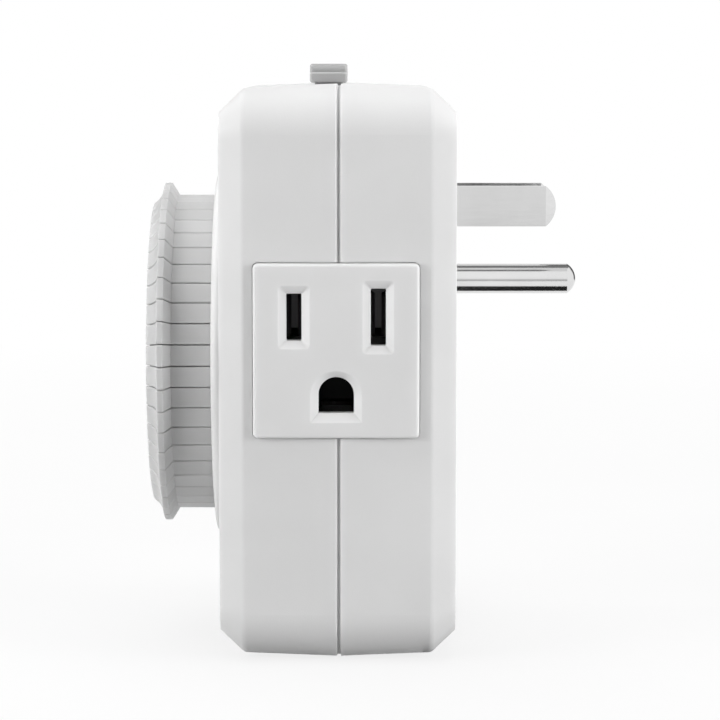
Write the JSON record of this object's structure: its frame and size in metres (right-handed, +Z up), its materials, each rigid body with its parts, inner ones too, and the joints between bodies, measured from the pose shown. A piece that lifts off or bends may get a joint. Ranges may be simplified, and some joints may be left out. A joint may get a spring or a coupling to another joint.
{
  "type": "plug-in timer switch",
  "caption": "Plug-in mechanical 24 hour timer switch: drafted two-part case, push-tappet dial in front, prongs behind, side outlets and a top override slider.",
  "frame": {"origin": "on the flat back of the case, midway between the two blades", "axes": "+Z up, +Y out of the back along the prongs into the wall, +X towards the right-hand outlet as seen from the dial"},
  "size_m": [0.0648, 0.0673, 0.0908],
  "materials": {
    "case_white": "fine satin moulded ABS",
    "insert_white": "smooth moulded, slightly glossier than the case",
    "dial_grey": "fine grained light grey moulding",
    "slider_grey": "satin grey moulding",
    "face_white": "printed satin sheet",
    "nickel_plate": "polished nickel plate on brass",
    "strip_brass": "rolled sheet",
    "contact_silver": "silver alloy rivet",
    "zinc_steel": "zinc plated",
    "gear_nylon": "natural acetal",
    "magnet_black": "ferrite",
    "coil_copper": "enamelled wire on a bobbin",
    "lead_insulation": "PVC insulation",
    "insulator": "moulded phenolic",
    "dial_print": "printed ink"
  },
  "bodies": {
    "case": {"front_housing": "case_white", "rear_housing": "case_white", "case_screws": "zinc_steel", "outlet_insert_right": "insert_white", "outlet_insert_left": "insert_white", "line_blade": "nickel_plate", "neutral_blade": "nickel_plate", "ground_pin": "nickel_plate", "blade_holder": "insulator", "line_strip": "strip_brass", "fixed_contact": "contact_silver", "load_bus": "strip_brass", "neutral_bus": "strip_brass", "ground_bus": "strip_brass", "motor_cup": "zinc_steel", "motor_coil": "coil_copper", "motor_gearbox": "zinc_steel", "motor_leads": "lead_insulation", "inner_screws": "zinc_steel", "movement_plate": "zinc_steel", "second_pin": "zinc_steel", "index_cap": "dial_grey"},
    "dial": {"dial_carrier": "dial_grey", "dial_face": "face_white"},
    "drive_arbor": {"drive_arbor": "zinc_steel", "drive_pinion": "gear_nylon", "clutch_washer": "zinc_steel"},
    "clutch_wheel": {"clutch_wheel": "gear_nylon"},
    "second_wheel": {"second_wheel": "gear_nylon"},
    "motor_output": {"motor_pinion": "gear_nylon"},
    "motor_rotor": {"motor_rotor": "magnet_black"},
    "follower_lever": {"follower_lever": "gear_nylon"},
    "contact_leaf": {"contact_leaf": "strip_brass", "moving_contact": "contact_silver"},
    "override_slider": {"override_slider": "slider_grey", "bridge_contact": "strip_brass"},
    "tappets_01": {"tappets_01": "dial_grey"},
    "tappets_02": {"tappets_02": "dial_grey"},
    "tappets_03": {"tappets_03": "dial_grey"},
    "tappets_04": {"tappets_04": "dial_grey"},
    "tappets_05": {"tappets_05": "dial_grey"},
    "tappets_06": {"tappets_06": "dial_grey"},
    "tappets_07": {"tappets_07": "dial_grey"},
    "tappets_08": {"tappets_08": "dial_grey"},
    "tappets_09": {"tappets_09": "dial_grey"},
    "tappets_10": {"tappets_10": "dial_grey"},
    "tappets_11": {"tappets_11": "dial_grey"},
    "tappets_12": {"tappets_12": "dial_grey"},
    "tappets_13": {"tappets_13": "dial_grey"},
    "tappets_14": {"tappets_14": "dial_grey"},
    "tappets_15": {"tappets_15": "dial_grey"},
    "tappets_16": {"tappets_16": "dial_grey"},
    "tappets_17": {"tappets_17": "dial_grey"},
    "tappets_18": {"tappets_18": "dial_grey"},
    "tappets_19": {"tappets_19": "dial_grey"},
    "tappets_20": {"tappets_20": "dial_grey"},
    "tappets_21": {"tappets_21": "dial_grey"},
    "tappets_22": {"tappets_22": "dial_grey"},
    "tappets_23": {"tappets_23": "dial_grey"},
    "tappets_24": {"tappets_24": "dial_grey"}
  },
  "joints": [
    {"name": "dial_turn", "type": "hinge", "parent": "case", "child": "dial", "pos_m": [0, 0, -0.0236], "axis": [0, 1, 0], "continuous": true},
    {"name": "override_slide", "type": "slide", "parent": "case", "child": "override_slider", "axis": [1, 0, 0], "range_m": [0, 0.005]},
    {"name": "tappets_24_push", "type": "slide", "parent": "dial", "child": "tappets_24", "axis": [0, 1, 0], "range_m": [0, 0.003]},
    {"name": "lever_rock", "type": "hinge", "parent": "case", "child": "follower_lever", "pos_m": [0, -0.0319, 0.0096], "axis": [1, 0, 0], "range_deg": [0, 19.6]},
    {"name": "leaf_lift", "type": "hinge", "parent": "case", "child": "contact_leaf", "pos_m": [0, -0.0122, 0.01155], "axis": [1, 0, 0], "range_deg": [-7.7, 0]},
    {"name": "drive_arbor_turn", "type": "hinge", "parent": "case", "child": "drive_arbor", "pos_m": [0, 0, -0.0404], "axis": [0, 1, 0], "continuous": true},
    {"name": "clutch_wheel_turn", "type": "hinge", "parent": "case", "child": "clutch_wheel", "pos_m": [0, 0, -0.0404], "axis": [0, 1, 0], "continuous": true},
    {"name": "second_wheel_turn", "type": "hinge", "parent": "case", "child": "second_wheel", "pos_m": [-0.0095, 0, -0.04852], "axis": [0, 1, 0], "continuous": true},
    {"name": "motor_output_turn", "type": "hinge", "parent": "case", "child": "motor_output", "pos_m": [0.00239, 0, -0.05236], "axis": [0, 1, 0], "continuous": true},
    {"name": "motor_rotor_spin", "type": "hinge", "parent": "case", "child": "motor_rotor", "pos_m": [0, 0, -0.0508], "axis": [0, 1, 0], "continuous": true},
    {"name": "tappets_01_push", "type": "slide", "parent": "dial", "child": "tappets_01", "axis": [0, 1, 0], "range_m": [0, 0.003]},
    {"name": "tappets_02_push", "type": "slide", "parent": "dial", "child": "tappets_02", "axis": [0, 1, 0], "range_m": [0, 0.003]},
    {"name": "tappets_03_push", "type": "slide", "parent": "dial", "child": "tappets_03", "axis": [0, 1, 0], "range_m": [0, 0.003]},
    {"name": "tappets_04_push", "type": "slide", "parent": "dial", "child": "tappets_04", "axis": [0, 1, 0], "range_m": [0, 0.003]},
    {"name": "tappets_05_push", "type": "slide", "parent": "dial", "child": "tappets_05", "axis": [0, 1, 0], "range_m": [0, 0.003]},
    {"name": "tappets_06_push", "type": "slide", "parent": "dial", "child": "tappets_06", "axis": [0, 1, 0], "range_m": [0, 0.003]},
    {"name": "tappets_07_push", "type": "slide", "parent": "dial", "child": "tappets_07", "axis": [0, 1, 0], "range_m": [0, 0.003]},
    {"name": "tappets_08_push", "type": "slide", "parent": "dial", "child": "tappets_08", "axis": [0, 1, 0], "range_m": [0, 0.003]},
    {"name": "tappets_09_push", "type": "slide", "parent": "dial", "child": "tappets_09", "axis": [0, 1, 0], "range_m": [0, 0.003]},
    {"name": "tappets_10_push", "type": "slide", "parent": "dial", "child": "tappets_10", "axis": [0, 1, 0], "range_m": [0, 0.003]},
    {"name": "tappets_11_push", "type": "slide", "parent": "dial", "child": "tappets_11", "axis": [0, 1, 0], "range_m": [0, 0.003]},
    {"name": "tappets_12_push", "type": "slide", "parent": "dial", "child": "tappets_12", "axis": [0, 1, 0], "range_m": [0, 0.003]},
    {"name": "tappets_13_push", "type": "slide", "parent": "dial", "child": "tappets_13", "axis": [0, 1, 0], "range_m": [0, 0.003]},
    {"name": "tappets_14_push", "type": "slide", "parent": "dial", "child": "tappets_14", "axis": [0, 1, 0], "range_m": [0, 0.003]},
    {"name": "tappets_15_push", "type": "slide", "parent": "dial", "child": "tappets_15", "axis": [0, 1, 0], "range_m": [0, 0.003]},
    {"name": "tappets_16_push", "type": "slide", "parent": "dial", "child": "tappets_16", "axis": [0, 1, 0], "range_m": [0, 0.003]},
    {"name": "tappets_17_push", "type": "slide", "parent": "dial", "child": "tappets_17", "axis": [0, 1, 0], "range_m": [0, 0.003]},
    {"name": "tappets_18_push", "type": "slide", "parent": "dial", "child": "tappets_18", "axis": [0, 1, 0], "range_m": [0, 0.003]},
    {"name": "tappets_19_push", "type": "slide", "parent": "dial", "child": "tappets_19", "axis": [0, 1, 0], "range_m": [0, 0.003]},
    {"name": "tappets_20_push", "type": "slide", "parent": "dial", "child": "tappets_20", "axis": [0, 1, 0], "range_m": [0, 0.003]},
    {"name": "tappets_21_push", "type": "slide", "parent": "dial", "child": "tappets_21", "axis": [0, 1, 0], "range_m": [0, 0.003]},
    {"name": "tappets_22_push", "type": "slide", "parent": "dial", "child": "tappets_22", "axis": [0, 1, 0], "range_m": [0, 0.003]},
    {"name": "tappets_23_push", "type": "slide", "parent": "dial", "child": "tappets_23", "axis": [0, 1, 0], "range_m": [0, 0.003]}
  ],
  "couplings": [
    {"joint": "drive_arbor_turn", "follows": "dial_turn", "ratio": 5.2},
    {"joint": "second_wheel_turn", "follows": "clutch_wheel_turn", "ratio": -4},
    {"joint": "motor_output_turn", "follows": "clutch_wheel_turn", "ratio": 16},
    {"joint": "lever_rock", "follows": "tappets_24_push", "rad_per_m": 114.02},
    {"joint": "leaf_lift", "follows": "tappets_24_push", "rad_per_m": -44.792}
  ]
}
